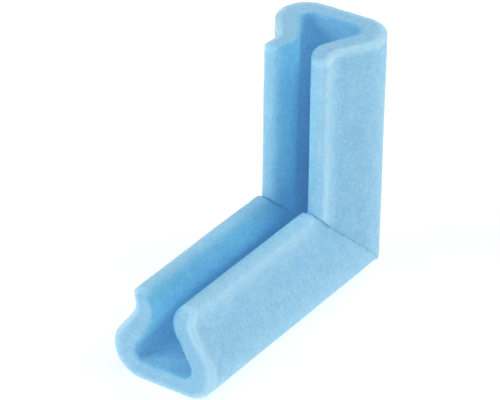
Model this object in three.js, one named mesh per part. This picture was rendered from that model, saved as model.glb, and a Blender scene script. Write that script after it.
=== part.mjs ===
// Foam corner protector: two mitred lengths of extruded foam channel, joined into a right angle.
//
// Millimetres, +Z up. The horizontal leg lies along Y on its flat base and its free end faces -Y.
// The vertical leg stands at the +Y end. Both channel mouths open towards the inside of the corner.
// The origin is under the middle of the object's box, on the plane that the horizontal leg rests on.
import * as THREE from 'three';

// Lengths of the legs, from the outer corner to the free end.
const HORIZONTAL_LENGTH = 140;
const VERTICAL_LENGTH = 125;

// Channel section. x runs across the channel, h from the outside of its base to its lips.
const SECTION_HEIGHT = 46.5;
const BASE_FLAT_WIDTH = 24;
const BELLY_RADIUS = 14.5;
const FLOOR_THICKNESS = 10;
const FLOOR_WIDTH = 20.5;
const FLOOR_CORNER_RADIUS = 4.5;
const WAIST_HEIGHT = 38.2;
const WAIST_WIDTH = 30.4;
const WAIST_RADIUS = 10;
const NECK_HEIGHT = 36.5;
const NECK_GAP = 10;
const NECK_RADIUS = 12.5;
const LIP_OUTER_WIDTH = 32;
const LIP_OUTER_RADIUS = 2.4;
const LIP_INNER_WIDTH = 14;
const LIP_INNER_RADIUS = 4.5;

// The joint between the two mitre cuts. The weld lies a little below the skin, so a groove shows.
const WELD_THICKNESS = 0.4;
const WELD_CLEARANCE = 0.3;
const WELD_INSET = 0.5;

// Half as many straight steps as each round stretch of the outline gets.
const ARC_STEPS = 8;

const FOAM_BLUE = 0x93c1dd;
const WELD_BLUE = 0x5f93b8;

// One side of the section as a chain of round stretches, in order from the base over the lip to the
// floor. A positive radius bulges out of the foam, a negative one is hollow.
const SIDE_ROUNDS = [
  { x: BASE_FLAT_WIDTH / 2, h: BELLY_RADIUS, r: BELLY_RADIUS },
  { x: WAIST_WIDTH / 2 + WAIST_RADIUS, h: WAIST_HEIGHT, r: -WAIST_RADIUS },
  { x: LIP_OUTER_WIDTH / 2 - LIP_OUTER_RADIUS, h: SECTION_HEIGHT - LIP_OUTER_RADIUS, r: LIP_OUTER_RADIUS },
  { x: LIP_INNER_WIDTH / 2 + LIP_INNER_RADIUS, h: SECTION_HEIGHT - LIP_INNER_RADIUS, r: LIP_INNER_RADIUS },
  { x: NECK_GAP / 2 + NECK_RADIUS, h: NECK_HEIGHT, r: NECK_RADIUS },
  { x: FLOOR_WIDTH / 2, h: FLOOR_THICKNESS + FLOOR_CORNER_RADIUS, r: -FLOOR_CORNER_RADIUS },
];

// Direction, as an angle, that faces out of the foam on the straight run between two rounds.
function outwardAngle(from, to) {
  const across = to.x - from.x;
  const up = to.h - from.h;
  return Math.atan2(up, across) - Math.acos((from.r - to.r) / Math.hypot(across, up));
}

// The closed outline: every round stretch is tangent to the straight runs on both sides of it.
// An inset moves the whole outline into the foam, and shortens every signed radius by that much.
function channelSection(inset) {
  const side = SIDE_ROUNDS.map(({ x, h, r }) => ({ x, h, r: r - inset }));
  const mirrored = side.map(({ x, h, r }) => ({ x: -x, h, r })).reverse();
  const rounds = [...side, ...mirrored];
  const section = new THREE.Shape();
  rounds.forEach((round, i) => {
    const before = rounds.at(i - 1);
    const after = rounds[(i + 1) % rounds.length];
    const hollow = round.r < 0;
    const turn = hollow ? Math.PI : 0;
    const start = outwardAngle(before, round) + turn;
    const end = outwardAngle(round, after) + turn;
    section.absarc(round.x, round.h, Math.abs(round.r), start, end, hollow);
  });
  return section;
}

// Where a cut crosses the channel: distance from the outer corner, as a function of h.
function squareCut(distance) {
  return () => distance;
}

function mitreCut(clearance) {
  return (h) => h + clearance * Math.SQRT2;
}

// A stretch of channel between two cuts. Its length runs along +Z, with the outer corner at z = 0.
function channelPiece(nearCut, farCut, inset = 0) {
  const geometry = new THREE.ExtrudeGeometry(channelSection(inset), {
    depth: 1,
    bevelEnabled: false,
    curveSegments: ARC_STEPS,
  });
  const position = geometry.attributes.position;
  for (let i = 0; i < position.count; i += 1) {
    const cut = position.getZ(i) === 0 ? nearCut : farCut;
    position.setZ(i, cut(position.getY(i)));
  }
  geometry.computeVertexNormals();
  return geometry;
}

function foam(color) {
  return new THREE.MeshStandardMaterial({ color, roughness: 0.9, metalness: 0 });
}

function horizontalLeg() {
  const cut = mitreCut(WELD_THICKNESS / 2 + WELD_CLEARANCE);
  const leg = new THREE.Mesh(channelPiece(cut, squareCut(HORIZONTAL_LENGTH)), foam(FOAM_BLUE));
  leg.name = 'horizontal_leg';
  leg.rotation.x = Math.PI / 2;
  return leg;
}

function verticalLeg() {
  const cut = mitreCut(WELD_THICKNESS / 2 + WELD_CLEARANCE);
  const leg = new THREE.Mesh(channelPiece(cut, squareCut(VERTICAL_LENGTH)), foam(FOAM_BLUE));
  leg.name = 'vertical_leg';
  leg.rotation.z = Math.PI;
  return leg;
}

// The film of melted foam that holds the two mitre cuts together.
function mitreWeld() {
  const film = channelPiece(mitreCut(-WELD_THICKNESS / 2), mitreCut(WELD_THICKNESS / 2), WELD_INSET);
  const weld = new THREE.Mesh(film, foam(WELD_BLUE));
  weld.name = 'mitre_weld';
  weld.rotation.x = Math.PI / 2;
  return weld;
}

const cornerProtector = new THREE.Group();
cornerProtector.add(horizontalLeg(), verticalLeg(), mitreWeld());
cornerProtector.position.y = HORIZONTAL_LENGTH / 2;

export default cornerProtector;
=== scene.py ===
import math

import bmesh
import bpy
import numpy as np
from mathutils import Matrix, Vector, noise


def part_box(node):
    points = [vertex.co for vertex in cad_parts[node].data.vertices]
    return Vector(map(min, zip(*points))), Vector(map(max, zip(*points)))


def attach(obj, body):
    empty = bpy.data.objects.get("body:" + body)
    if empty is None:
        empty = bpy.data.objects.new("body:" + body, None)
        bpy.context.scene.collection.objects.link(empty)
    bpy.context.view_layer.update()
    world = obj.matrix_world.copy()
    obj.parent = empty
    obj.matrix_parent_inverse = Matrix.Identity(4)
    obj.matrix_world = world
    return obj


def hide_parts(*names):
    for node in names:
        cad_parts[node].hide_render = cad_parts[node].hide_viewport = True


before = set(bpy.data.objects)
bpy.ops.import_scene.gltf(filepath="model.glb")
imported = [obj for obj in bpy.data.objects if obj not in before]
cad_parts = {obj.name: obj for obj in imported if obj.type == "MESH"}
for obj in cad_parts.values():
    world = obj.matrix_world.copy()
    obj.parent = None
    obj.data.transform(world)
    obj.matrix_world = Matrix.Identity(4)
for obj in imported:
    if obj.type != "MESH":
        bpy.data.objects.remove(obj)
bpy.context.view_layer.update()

# Looks of a foam corner protector: two mitred lengths of pale blue foam channel, welded into an L.
#
# Metres, +Z up. The horizontal leg lies along Y, the upright leg stands at its +Y end, X runs across.
# A point of a leg is given as x across the channel, h up from the outside of its base, and s along
# the leg from the plane of the outer corner.

MM = 0.001

# Mesh density.
SIDE_STEPS = 190         # along the outer side of the section, and along the inner side
WALL_STEPS = 12          # across the end of a lip, and through the thickness of the wall
LENGTH_STEPS = 180       # along a leg
ROUND_STEPS = 4          # around a cut edge
SAME_PLACE = 0.01 * MM   # points of the CAD solid that are nearer than this are one

# Cut edges, which the knife leaves a little rounded.
OUTER_ROUNDING = 1.6 * MM
LIP_ROUNDING = 1.5 * MM
INNER_ROUNDING = 0.9 * MM
MITRE_ROUNDING = 0.2 * MM
ROUNDING_BLEND = 8       # ring points on each side over which one rounding passes into the next

# Painted shade in the channel, by the distance into the channel from a lip's outer corner.
CHANNEL_FULL = 9.5 * MM      # full from here on
CHANNEL_FADE = 24 * MM       # starts to fade here
CHANNEL_FLOOR = 42 * MM      # has faded to the floor's share here
CHANNEL_FLOOR_SHARE = 0.6

# Where a painted highlight makes the foam paler: on the lips, and beside the outer edge of the free end.
LIP_START = 35 * MM          # height above the base at which a wall starts to pass into a lip
LIP_END = 44 * MM
EDGE_HIGHLIGHT_REACH = 2.7 * MM

# The weld between the mitre cuts.
WELD_THICKNESS = 0.10 * MM
WELD_CLEARANCE = 0.01 * MM        # to each cut face
WELD_DEPTH = 0.06 * MM            # how far its rim lies below the skin
WELD_DEPTH_CHANGE = 0.08 * MM
WELD_CHANGE_LENGTH = 5 * MM
WELD_TWIST = math.radians(3.25)   # how far the upright leg was turned about its own length
SEAM_SHADE_REACH = 0.9 * MM             # how far from the mitre the painted seam shade reaches
PULL_REACH = 3.0 * MM             # how far from the mitre it has drawn the two skins together

# Relief of the foam's skin.
WAVE_HEIGHT = 0.22 * MM
WAVE_LENGTH = 38 * MM
CELL_HEIGHT = 0.10 * MM
CELL_SIZE = 1.9 * MM
CELL_MIDDLE = 0.5        # the relief is level at this distance from a cell's middle, in cell sizes
FRAY_HEIGHT = 0.24 * MM
FRAY_SIZE = 0.9 * MM
FRAY_REACH = 1.6 * MM    # how far from a cut edge the skin is frayed

# Colours, as linear red, green, blue and alpha.
FOAM_LIGHT = (0.43, 0.71, 0.89, 1)
FOAM_DARK = (0.33, 0.62, 0.83, 1)
FOAM_GRAIN = (0.26, 0.57, 0.81, 1)
FOAM_SPECK = (0.50, 0.80, 0.97, 1)
CUT_TINT = (0.88, 0.91, 0.94, 1)
# Painted shade along the seam beside the mitre.
SEAM_SHADE_TINT = (0.70, 0.84, 0.93, 1)
# Painted highlight, mixed in on the lips and beside the free end's outer edge.
PAINTED_HIGHLIGHT = (0.58, 0.85, 0.99, 1)
# Painted shade inside the channel.
CHANNEL_PAINTED_SHADE = (0.54, 0.89, 0.96, 1)
WELD_LIGHT = (0.40, 0.74, 0.96, 1)
WELD_DARK = (0.32, 0.66, 0.93, 1)
FLOOR_LIGHT = (0.61, 0.61, 0.61, 1)
FLOOR_DARK = (0.59, 0.59, 0.59, 1)
FLOOR_GLOW = (1, 1, 1, 1)
STUDIO_WHITE = (1, 1, 1, 1)

# Light inside the foam: how far red, green and blue spread. Then a painted glow that the foam's surface
# gives off though it is no lamp, standing for light that comes through to a surface, paler along the
# painted edge highlight.
LIGHT_SPREAD = (0.5, 0.8, 1.0)
LIGHT_SPREAD_DEPTH = 1.5 * MM
FOAM_PAINTED_GLOW = (0.33, 0.66, 0.95, 1)
EDGE_PAINTED_GLOW = (0.50, 0.85, 1.10, 1)
PAINTED_GLOW_STRENGTH = 0.1

# Patterns in the foam: the size of their lumps, their detail, the range of the noise in which they
# come up, and how strongly they show.
MOTTLE_SIZE = 6.5 * MM
MOTTLE_DETAIL = 4.0
GRAIN_SIZE = 2.2 * MM
GRAIN_DETAIL = 3.0
SPECK_SIZE = 1.2 * MM
SPECK_DETAIL = 1.0
SOFT_RANGE = (0.3, 0.7)
SPECK_RANGE = (0.55, 0.75)
BLISTER_RANGE = (0.35, 0.65)
GRAIN_STRENGTH = 0.7
SPECK_STRENGTH = 0.5
# Strengths of the painted highlights beside the free end's outer edge and on the lips.
EDGE_HIGHLIGHT_STRENGTH = 0.50
LIP_HIGHLIGHT_STRENGTH = 0.25

# Surfaces.
BUMP_HEIGHT = 0.7 * MM
FOAM_BUMP = 0.5
WELD_BUMP = 0.6
FOAM_ROUGHNESS = 0.8
WELD_ROUGHNESS = 0.45
FLOOR_ROUGHNESS = 0.9
FOAM_SPECULAR = 0.05
FLOOR_SPECULAR = 0.1

# Studio.
FLOOR_WIDTH = 12.0
FLOOR_HEIGHT = -1 * MM         # clear of the relief on the underside of the foam
FLOOR_TONE_SIZE = 0.4
FLOOR_GLOW_STRENGTH = 0.60     # the floor is lit from below, like a light table
WORLD_STRENGTH = 0.12
LIGHT_DISTANCE = 2.0
LIGHT_SIZE = 1.0
SOFT_LIGHTS = {                # azimuth and elevation in degrees, watts
    "front": (-20, 20, 2.5),
    "front_left": (-38, 34, 14.0),
    "near_camera": (45, 30, 2.6),
    "right": (95, 52, 4.6),
    "back_right": (125, 45, 9.5),
    "back": (180, 30, 5.5),
    "above": (60, 80, 5.6),
}

# Camera, around the point where the lips of the two legs meet.
VIEW_AZIMUTH = math.radians(34.06)
VIEW_ELEVATION = math.radians(32.05)
VIEW_ROLL = math.radians(0.91)
VIEW_DISTANCE = 1.5796
VIEW_SIDESTEP = -0.0158
VIEW_RISE = 0.0023
LENS_MM = 255.0

# Sizes and places of the legs, from the CAD frame, and what follows from them.
HEEL_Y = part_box("vertical_leg")[1].y
LIP_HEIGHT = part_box("horizontal_leg")[1].z
HORIZONTAL_LENGTH = HEEL_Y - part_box("horizontal_leg")[0].y
UPRIGHT_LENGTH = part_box("vertical_leg")[1].z
GAP_TO_MITRE = WELD_THICKNESS / 2 + WELD_CLEARANCE
ROUND_ANGLES = np.linspace(0, math.pi / 2, ROUND_STEPS + 1)   # 0 on a cut face, then over its edge


# ---------------------------------------------------------------- section of the channel

def free_end_outline():
    """The closed outline (x, h) of the horizontal leg's free end, in clockwise order."""
    end_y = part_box("horizontal_leg")[0].y
    solid = bmesh.new()
    solid.from_mesh(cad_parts["horizontal_leg"].data)
    bmesh.ops.remove_doubles(solid, verts=solid.verts, dist=SAME_PLACE)

    def at_end(element):
        return all(abs(vertex.co.y - end_y) < SAME_PLACE for vertex in element.verts)

    neighbours = {}
    for edge in solid.edges:
        if at_end(edge) and sum(at_end(face) for face in edge.link_faces) == 1:
            a, b = edge.verts
            neighbours.setdefault(a, []).append(b)
            neighbours.setdefault(b, []).append(a)
    start = next(iter(neighbours))
    order = [start, neighbours[start][0]]
    while order[-1] is not start:
        order.append(next(v for v in neighbours[order[-1]] if v is not order[-2]))
    outline = np.array([(v.co.x, v.co.z) for v in order[:-1]])
    solid.free()
    x, h = outline.T
    anticlockwise = np.sum(x * np.roll(h, -1) - np.roll(x, -1) * h) > 0
    return outline[::-1] if anticlockwise else outline


def resampled(points, steps):
    """The same line through steps + 1 evenly spaced points."""
    lengths = np.hypot(*np.diff(points, axis=0).T)
    along = np.concatenate([[0], np.cumsum(lengths)])
    wanted = np.linspace(0, along[-1], steps + 1)
    return np.column_stack([np.interp(wanted, along, column) for column in points.T])


def section_ring():
    """The outline as one ring: outer side from the right lip round to the left lip, left lip end, inner
    side back to the right, right lip end. These four meet in the middles of the lips' rounded corners."""
    outline = free_end_outline()
    x, h = outline.T
    right_outer = np.argmax(h + x)
    left_outer = np.argmax(h - x)
    left_inner = np.argmax(np.where(x < 0, h + x, -np.inf))
    right_inner = np.argmax(np.where(x > 0, h - x, -np.inf))
    count = len(outline)
    corners = (right_outer, left_outer, left_inner, right_inner)
    marks = [(corner - right_outer) % count for corner in corners] + [count]
    turned = np.roll(outline, -right_outer, axis=0)
    closed = np.vstack([turned, turned[:1]])
    steps = (SIDE_STEPS, WALL_STEPS, SIDE_STEPS, WALL_STEPS)
    chains = [
        resampled(closed[first:last + 1], chain_steps)[:-1]
        for first, last, chain_steps in zip(marks[:-1], marks[1:], steps)
    ]
    return np.vstack(chains)


def outward(ring):
    """Unit vectors across a clockwise ring, out of the foam."""
    tangent = np.roll(ring, -1, axis=0) - np.roll(ring, 1, axis=0)
    across = np.column_stack([-tangent[:, 1], tangent[:, 0]])
    return across / np.linalg.norm(across, axis=1)[:, None]


def free_end_rounding():
    """How far the free end's cut edge is rounded, at each point of the ring."""
    rounding = np.full(len(RING), LIP_ROUNDING)
    on_lip = 2 * ROUNDING_BLEND   # points at each end of the outer side
    rounding[on_lip:SIDE_STEPS - on_lip] = OUTER_ROUNDING
    inner_start = SIDE_STEPS + WALL_STEPS
    rounding[inner_start:inner_start + SIDE_STEPS] = INNER_ROUNDING
    shifts = range(-ROUNDING_BLEND, ROUNDING_BLEND + 1)
    return sum(np.roll(rounding, shift) for shift in shifts) / len(shifts)


def distance_past_lip_corner():
    """How far each point of the ring lies into the channel from the nearer lip's outer corner."""
    steps = np.linalg.norm(np.roll(RING, -1, axis=0) - RING, axis=1)
    along = np.concatenate([[0], np.cumsum(steps)])
    past_left = along[:-1] - along[SIDE_STEPS]
    past_right = along[-1] - along[:-1]
    return np.maximum(np.minimum(past_left, past_right), 0)


RING = section_ring()
RING_OUTWARD = outward(RING)
FLOOR_THICKNESS = RING[SIDE_STEPS + WALL_STEPS:2 * SIDE_STEPS + WALL_STEPS, 1].min()


# ---------------------------------------------------------------- closed meshes through rings

def cap_points(ring):
    """Points inside a ring (x, h), in rows from the outer side to the inner side."""
    outer = ring[1:SIDE_STEPS]
    inner_start = SIDE_STEPS + WALL_STEPS
    inner = ring[inner_start + 1:inner_start + SIDE_STEPS][::-1]
    shares = np.arange(1, WALL_STEPS) / WALL_STEPS
    return np.vstack([outer + (inner - outer) * share for share in shares])


def cap_faces(ring_start, inside_start):
    """Quads between the points of a ring and those of its cap_points."""
    count = len(RING)

    def index(step, row):
        if row == 0:
            return ring_start + step
        if row == WALL_STEPS:
            return ring_start + 2 * SIDE_STEPS + WALL_STEPS - step
        if step == 0:
            return ring_start + count - row
        if step == SIDE_STEPS:
            return ring_start + SIDE_STEPS + row
        return inside_start + (row - 1) * (SIDE_STEPS - 1) + step - 1

    return [
        (index(step, row), index(step + 1, row), index(step + 1, row + 1), index(step, row + 1))
        for row in range(WALL_STEPS)
        for step in range(SIDE_STEPS)
    ]


def side_faces(ring_count):
    """Quads between neighbouring rings."""
    count = len(RING)
    return [
        (k * count + i, k * count + (i + 1) % count, (k + 1) * count + (i + 1) % count, (k + 1) * count + i)
        for k in range(ring_count - 1)
        for i in range(count)
    ]


def lofted(name, points, ring_count, place):
    """A closed piece from (x, h, s) points: the rings, then the inside of the first and the last."""
    inside_count = (len(points) - ring_count * len(RING)) // 2
    first_inside = ring_count * len(RING)
    faces = side_faces(ring_count)
    faces += cap_faces(0, first_inside)
    faces += cap_faces((ring_count - 1) * len(RING), first_inside + inside_count)
    mesh = bpy.data.meshes.new(name)
    mesh.from_pydata(place(points).tolist(), [], faces)
    whole = bmesh.new()
    whole.from_mesh(mesh)
    bmesh.ops.recalc_face_normals(whole, faces=whole.faces)
    whole.to_mesh(mesh)
    whole.free()
    mesh.shade_smooth()
    piece = bpy.data.objects.new(name, mesh)
    bpy.context.scene.collection.objects.link(piece)
    return piece


def place_horizontal(points):
    """Row coordinates of (x, h, s) points of the horizontal leg."""
    x, h, s = points.T
    return np.column_stack([x, HEEL_Y - s, h])


def depth_below_heel(points, turn):
    """How far points of a leg with this turn lie in from the plane of the outer corner."""
    return points[:, 1] * math.cos(turn) - points[:, 0] * math.sin(turn)


def place_upright(points, turn=WELD_TWIST):
    """Row coordinates of (x, h, s) points of the upright leg, turned about its own length."""
    x, h, s = points.T
    turned_x = x * math.cos(turn) + h * math.sin(turn)
    return np.column_stack([turned_x, HEEL_Y - depth_below_heel(points, turn), s])


# ---------------------------------------------------------------- shape of a leg

def inset_ring(depth):
    """The ring (x, h) moved into the foam by depth, a number or one per point."""
    return RING - RING_OUTWARD * np.reshape(depth, (-1, 1))


def with_length(section, s):
    """(x, h, s) points from (x, h) points and their distances along the leg."""
    return np.column_stack([section, np.broadcast_to(s, len(section))])


def lip_share(height):
    """0 on the body of the section, passing to 1 at the lips."""
    return np.clip((height - LIP_START) / (LIP_END - LIP_START), 0, 1)


def drawn_together(points, turn):
    """The points of a leg, with its section near the mitre turned halfway to the other leg's. The lips,
    which stand free, keep their step."""
    from_mitre = points[:, 2] - depth_below_heel(points, turn)
    near = np.clip(1 - from_mitre / PULL_REACH, 0, 1) ** 2
    pull = (WELD_TWIST / 2 - turn) * near * (1 - lip_share(points[:, 1]))
    x, h, _ = points.T
    drawn = np.column_stack([x * np.cos(pull) + h * np.sin(pull), h * np.cos(pull) - x * np.sin(pull)])
    return with_length(drawn, depth_below_heel(drawn, turn) + from_mitre)


def leg_points(length, turn):
    """(x, h, s) points of a leg: rings from the free end to the mitre, then inside the two cut faces."""
    def mitre(section):
        return depth_below_heel(section, turn) + GAP_TO_MITRE * math.sqrt(2)

    rounding = free_end_rounding()
    free_rings = [
        with_length(inset_ring(rounding * (1 - math.sin(angle))), length - rounding * (1 - math.cos(angle)))
        for angle in ROUND_ANGLES
    ]
    mitre_rings = []
    for angle in ROUND_ANGLES[::-1]:
        section = inset_ring(MITRE_ROUNDING * (1 - math.sin(angle)))
        mitre_rings.append(with_length(section, mitre(section) + MITRE_ROUNDING * (1 - math.cos(angle))))
    between = [
        free_rings[-1] + (mitre_rings[0] - free_rings[-1]) * step / LENGTH_STEPS
        for step in range(1, LENGTH_STEPS)
    ]
    free_inside = cap_points(free_rings[0][:, :2])
    mitre_inside = cap_points(mitre_rings[-1][:, :2])
    insides = [with_length(free_inside, length), with_length(mitre_inside, mitre(mitre_inside))]
    return drawn_together(np.vstack([*free_rings, *between, *mitre_rings, *insides]), turn)


def relief(place, fray):
    """How far the foam's skin stands out at a place. fray, 0 to 1, is how near a cut edge that is."""
    waves = noise.noise(place / WAVE_LENGTH) * WAVE_HEIGHT
    to_cell_middle = noise.voronoi(place / CELL_SIZE)[0][0]
    cells = (CELL_MIDDLE - to_cell_middle) * CELL_HEIGHT
    frays = noise.noise(place / FRAY_SIZE) * FRAY_HEIGHT * fray
    return waves + cells + frays


def vertex_places(mesh):
    """The mesh's vertices as rows of an array."""
    places = np.empty(3 * len(mesh.vertices))
    mesh.vertices.foreach_get("co", places)
    return places.reshape(-1, 3)


def shaped_skin(leg, side, fray):
    """Gives a leg its relief, and keeps it on its own side of the mitre plane: -1 below, 1 above."""
    mesh = leg.data
    places = vertex_places(mesh)
    normals = np.empty(places.size)
    mesh.vertex_normals.foreach_get("vector", normals)
    heights = [relief(Vector(place), near) for place, near in zip(places, fray)]
    places += normals.reshape(-1, 3) * np.reshape(heights, (-1, 1))
    past_mitre = side * (places[:, 1] + places[:, 2] - HEEL_Y) / math.sqrt(2)
    missing = np.maximum(GAP_TO_MITRE - past_mitre, 0)
    places[:, 1:] += side * missing[:, None] / math.sqrt(2)
    mesh.vertices.foreach_set("co", places.ravel())
    mesh.update()


def mark(piece, name, values):
    """Stores one number per vertex, which the piece's material reads by name."""
    attribute = piece.data.attributes.new(name, "FLOAT", "POINT")
    attribute.data.foreach_set("value", values)


def channel_shade_share():
    """How much painted shade the channel gets: 0 outside the channel, passing to 1 on its walls and to a
    smaller share on its floor.
    """
    stops = (0, CHANNEL_FULL, CHANNEL_FADE, CHANNEL_FLOOR)
    return np.interp(distance_past_lip_corner(), stops, (0, 1, 1, CHANNEL_FLOOR_SHARE))


def cut_share(ring_count, inside_count):
    """1 on the two cut faces, passing to 0 over their rounded edges."""
    around_end = np.cos(ROUND_ANGLES)
    skin = np.zeros(ring_count - 2 * len(around_end))
    rings = np.concatenate([around_end, skin, around_end[::-1]])
    return np.concatenate([np.repeat(rings, len(RING)), np.ones(2 * inside_count)])


def edge_highlight_share(from_free_end, ring_count, inside_count):
    """How much highlight is painted beside the edge: 1 at the outer edge of the free end, passing to 0
    along the skin and across the cut face, where every wall is taken to be as thick as the channel's floor."""
    ring_share = np.clip(1 - distance_past_lip_corner() / CHANNEL_FULL, 0, 1)
    skin_length = from_free_end[:ring_count * len(RING)] - OUTER_ROUNDING
    on_skin = np.tile(ring_share, ring_count) * np.clip(1 - skin_length / EDGE_HIGHLIGHT_REACH, 0, 1)
    depths = FLOOR_THICKNESS * np.arange(1, WALL_STEPS) / WALL_STEPS
    on_end = np.repeat(np.clip(1 - depths / EDGE_HIGHLIGHT_REACH, 0, 1), SIDE_STEPS - 1)
    return np.concatenate([on_skin, on_end, np.zeros(inside_count)])


def build_leg(name, length, turn, place, side):
    """One leg of the protector, with its cut faces and edges marked for the material."""
    points = leg_points(length, turn)
    ring_count = 2 * len(ROUND_ANGLES) + LENGTH_STEPS - 1
    inside_count = (len(points) - ring_count * len(RING)) // 2
    leg = lofted(name, points, ring_count, place)

    from_free_end = length - points[:, 2]
    from_mitre = points[:, 2] - depth_below_heel(points, turn)
    from_cut = np.minimum(from_free_end, from_mitre)
    shaped_skin(leg, side, np.clip(1 - from_cut / FRAY_REACH, 0, 1))

    # Painted shade inside the channel.
    channel = np.concatenate([np.tile(channel_shade_share(), ring_count), np.zeros(2 * inside_count)])
    cut = cut_share(ring_count, inside_count)
    mark(leg, "channel", channel)
    mark(leg, "cut", cut)
    # Painted highlight on the lips.
    mark(leg, "lip", lip_share(points[:, 1]) * (1 - channel) * (1 - cut))
    # Painted highlight beside the free end's outer edge.
    mark(leg, "edge", edge_highlight_share(from_free_end, ring_count, inside_count))
    # Painted shade along the seam beside the mitre.
    mark(leg, "seam_shade", np.clip(1 - from_mitre / SEAM_SHADE_REACH, 0, 1))
    return leg


# ---------------------------------------------------------------- the weld

def build_weld():
    """The skin of melted foam between the mitre cuts, with an uneven rim."""
    turn = WELD_TWIST / 2
    rim_noise = np.array([
        noise.noise(Vector((x, h, 0)) / WELD_CHANGE_LENGTH) for x, h in RING
    ])
    # The lips of the two legs keep their step, so there the film is drawn in by that much.
    lip_step = RING[:, 1] * math.sin(turn) * lip_share(RING[:, 1])
    depth = WELD_DEPTH + WELD_DEPTH_CHANGE * rim_noise + lip_step
    half = WELD_THICKNESS / 2
    rings = []
    for angle in np.linspace(-math.pi / 2, math.pi / 2, 2 * ROUND_STEPS + 1):
        section = inset_ring(depth + half * (1 - math.cos(angle)))
        away = half * math.sin(angle) * math.sqrt(2)
        rings.append(with_length(section, depth_below_heel(section, turn) + away))
    insides = []
    for ring, away in ((rings[0], -half), (rings[-1], half)):
        section = cap_points(ring[:, :2])
        insides.append(with_length(section, depth_below_heel(section, turn) + away * math.sqrt(2)))
    points = np.vstack([*rings, *insides])
    return lofted("weld_skin", points, len(rings), lambda p: place_upright(p, turn))


# ---------------------------------------------------------------- materials

class Shader:
    """A material made of nodes, one call to a node."""

    # The Mix node has sockets of the same name for numbers and for colours. These are the colour ones.
    MIX_SHARE = 0
    MIX_A = 6
    MIX_B = 7
    MIX_RESULT = 2

    def __init__(self, name):
        self.material = bpy.data.materials.new(name)
        self.material.use_nodes = True
        self.tree = self.material.node_tree
        self.tree.nodes.clear()

    def node(self, kind, inputs, **settings):
        """Adds a node and returns its outputs. An input is an output of another node, or a value."""
        made = self.tree.nodes.new(kind)
        for setting, value in settings.items():
            setattr(made, setting, value)
        for socket, value in inputs.items():
            if isinstance(value, bpy.types.NodeSocket):
                self.tree.links.new(value, made.inputs[socket])
            else:
                made.inputs[socket].default_value = value
        return made.outputs

    def noise(self, size, detail=2.0):
        """Cloudy noise around 0.5, with lumps of about this size in metres."""
        place = self.node("ShaderNodeTexCoord", {})["Object"]
        settings = {"Vector": place, "Scale": 1 / size, "Detail": detail}
        return self.node("ShaderNodeTexNoise", settings)[0]

    def cells(self, size):
        """Distance to the middle of the nearest cell, with cells of about this size in metres."""
        place = self.node("ShaderNodeTexCoord", {})["Object"]
        return self.node("ShaderNodeTexVoronoi", {"Vector": place, "Scale": 1 / size})["Distance"]

    def marked(self, name):
        """A number stored on the mesh with mark()."""
        return self.node("ShaderNodeAttribute", {}, attribute_name=name)["Fac"]

    def ranged(self, value, limits):
        """0 below the lower limit, passing to 1 at the upper limit and above."""
        low, high = limits
        return self.node("ShaderNodeMapRange", {"Value": value, "From Min": low, "From Max": high})[0]

    def math(self, operation, a, b):
        """Two numbers added or multiplied."""
        return self.node("ShaderNodeMath", {0: a, 1: b}, operation=operation)[0]

    def mixed(self, share, a, b, blend="MIX"):
        """Colour a passing into colour b."""
        inputs = {self.MIX_SHARE: share, self.MIX_A: a, self.MIX_B: b}
        return self.node("ShaderNodeMix", inputs, data_type="RGBA", blend_type=blend)[self.MIX_RESULT]

    def tinted(self, share, colour, tint):
        """A colour multiplied by a tint, by this share."""
        return self.mixed(share, colour, tint, "MULTIPLY")

    def bumped(self, height, strength):
        """A surface direction that follows the height."""
        inputs = {"Height": height, "Strength": strength, "Distance": BUMP_HEIGHT}
        return self.node("ShaderNodeBump", inputs)[0]

    def finish(self, inputs):
        """The principled surface with these inputs."""
        surface = self.node("ShaderNodeBsdfPrincipled", inputs)[0]
        self.node("ShaderNodeOutputMaterial", {"Surface": surface})
        return self.material


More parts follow.
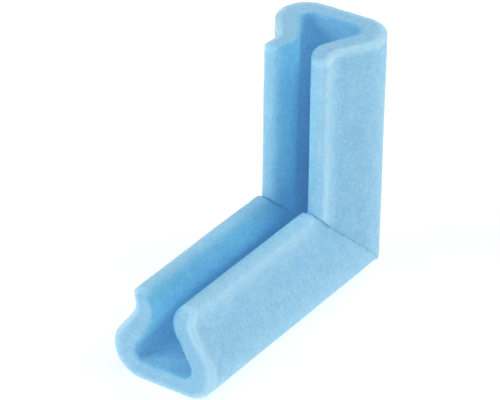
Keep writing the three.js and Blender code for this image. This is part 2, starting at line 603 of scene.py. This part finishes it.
def foam_material():
    """Closed-cell foam: grain and pale specks over slow mottling. Cut faces are tinted. Painted shade
    darkens the channel walls and the line beside the mitre. The lips and the free end's outer edge are
    paler with painted highlight, and the foam gives off a painted glow."""
    shader = Shader("soft_foam")
    mottling = shader.ranged(shader.noise(MOTTLE_SIZE, MOTTLE_DETAIL), SOFT_RANGE)
    colour = shader.mixed(mottling, FOAM_DARK, FOAM_LIGHT)
    grain = shader.ranged(shader.noise(GRAIN_SIZE, GRAIN_DETAIL), SOFT_RANGE)
    colour = shader.mixed(shader.math("MULTIPLY", grain, GRAIN_STRENGTH), colour, FOAM_GRAIN)
    specks = shader.ranged(shader.noise(SPECK_SIZE, SPECK_DETAIL), SPECK_RANGE)
    colour = shader.mixed(shader.math("MULTIPLY", specks, SPECK_STRENGTH), colour, FOAM_SPECK)
    # Painted shade inside the channel.
    colour = shader.tinted(shader.marked("channel"), colour, CHANNEL_PAINTED_SHADE)
    colour = shader.tinted(shader.marked("cut"), colour, CUT_TINT)
    # Painted shade along the seam beside the mitre.
    colour = shader.tinted(shader.math("MULTIPLY", shader.marked("seam_shade"), grain), colour, SEAM_SHADE_TINT)
    # Painted highlights beside the free end's outer edge and on the lips.
    colour = shader.mixed(shader.math("MULTIPLY", shader.marked("edge"), EDGE_HIGHLIGHT_STRENGTH), colour, PAINTED_HIGHLIGHT)
    colour = shader.mixed(shader.math("MULTIPLY", shader.marked("lip"), LIP_HIGHLIGHT_STRENGTH), colour, PAINTED_HIGHLIGHT)
    height = shader.math("ADD", shader.cells(CELL_SIZE / 2), shader.noise(GRAIN_SIZE, GRAIN_DETAIL))
    return shader.finish({
        "Base Color": colour,
        "Normal": shader.bumped(height, FOAM_BUMP),
        "Roughness": FOAM_ROUGHNESS,
        "Specular IOR Level": FOAM_SPECULAR,
        "Subsurface Weight": 1.0,
        "Subsurface Radius": LIGHT_SPREAD,
        "Subsurface Scale": LIGHT_SPREAD_DEPTH,
        # Painted glow over the whole foam, paler where the edge highlight is painted.
        "Emission Color": shader.mixed(shader.marked("edge"), FOAM_PAINTED_GLOW, EDGE_PAINTED_GLOW),
        "Emission Strength": PAINTED_GLOW_STRENGTH,
    })


def weld_material():
    """The melted skin: a clearer blue than the foam's, and smoother, with small blisters."""
    shader = Shader("melted_foam")
    blisters = shader.ranged(shader.noise(GRAIN_SIZE), BLISTER_RANGE)
    return shader.finish({
        "Base Color": shader.mixed(blisters, WELD_DARK, WELD_LIGHT),
        "Normal": shader.bumped(blisters, WELD_BUMP),
        "Roughness": WELD_ROUGHNESS,
    })


def floor_material():
    """A pale studio floor with a barely uneven tone."""
    shader = Shader("studio_floor")
    return shader.finish({
        "Base Color": shader.mixed(shader.noise(FLOOR_TONE_SIZE), FLOOR_DARK, FLOOR_LIGHT),
        "Roughness": FLOOR_ROUGHNESS,
        "Specular IOR Level": FLOOR_SPECULAR,
        "Emission Color": FLOOR_GLOW,
        "Emission Strength": FLOOR_GLOW_STRENGTH,
    })


# ---------------------------------------------------------------- studio

def build_floor():
    """A plain floor far wider than the object, just under it."""
    half = FLOOR_WIDTH / 2
    corners = [(-half, -half), (half, -half), (half, half), (-half, half)]
    mesh = bpy.data.meshes.new("studio_floor")
    mesh.from_pydata([(x, y, FLOOR_HEIGHT) for x, y in corners], [], [(0, 1, 2, 3)])
    mesh.materials.append(floor_material())
    floor = bpy.data.objects.new("studio_floor", mesh)
    bpy.context.scene.collection.objects.link(floor)


def direction(azimuth, elevation):
    """Unit vector towards a place seen around the object: azimuth 0 is the front (-Y), 90 is +X."""
    return Vector((
        math.sin(azimuth) * math.cos(elevation),
        -math.cos(azimuth) * math.cos(elevation),
        math.sin(elevation),
    ))


def light_studio():
    """An even white surround and a few large soft lights."""
    world = bpy.data.worlds.new("studio")
    world.use_nodes = True
    background = world.node_tree.nodes["Background"]
    background.inputs["Color"].default_value = STUDIO_WHITE
    background.inputs["Strength"].default_value = WORLD_STRENGTH
    bpy.context.scene.world = world

    for name, (azimuth, elevation, watts) in SOFT_LIGHTS.items():
        towards = direction(math.radians(azimuth), math.radians(elevation))
        area = bpy.data.lights.new(name, "AREA")
        area.shape = "DISK"
        area.size = LIGHT_SIZE
        area.energy = watts
        light = bpy.data.objects.new(name, area)
        light.location = towards * LIGHT_DISTANCE
        light.rotation_euler = towards.to_track_quat("Z", "Y").to_euler()
        bpy.context.scene.collection.objects.link(light)


def place_camera():
    """The camera, looking from the open side of the horizontal leg down into both channels."""
    target = Vector((0, HEEL_Y - LIP_HEIGHT, LIP_HEIGHT))
    back = direction(VIEW_AZIMUTH, VIEW_ELEVATION)
    level = Vector((math.cos(VIEW_AZIMUTH), math.sin(VIEW_AZIMUTH), 0))
    rise = back.cross(level)
    right = level * math.cos(VIEW_ROLL) + rise * math.sin(VIEW_ROLL)
    up = back.cross(right)
    lens = bpy.data.cameras.new("camera")
    lens.lens = LENS_MM
    camera = bpy.data.objects.new("camera", lens)
    camera.matrix_world = Matrix((right, up, back)).transposed().to_4x4()
    camera.location = target + back * VIEW_DISTANCE + right * VIEW_SIDESTEP + up * VIEW_RISE
    bpy.context.scene.collection.objects.link(camera)
    bpy.context.scene.camera = camera


# ---------------------------------------------------------------- putting it together

def dress(piece, node, material):
    """Makes a piece stand for a CAD node, with its material."""
    piece.data.materials.append(material)
    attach(piece, "root")
    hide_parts(node)


foam = foam_material()
horizontal = build_leg("horizontal_foam", HORIZONTAL_LENGTH, 0, place_horizontal, -1)
upright = build_leg("upright_foam", UPRIGHT_LENGTH, WELD_TWIST, place_upright, 1)
weld = build_weld()
dress(horizontal, "horizontal_leg", foam)
dress(upright, "vertical_leg", foam)
dress(weld, "mitre_weld", weld_material())

build_floor()
light_studio()
place_camera()
bpy.context.scene.view_settings.view_transform = "Standard"
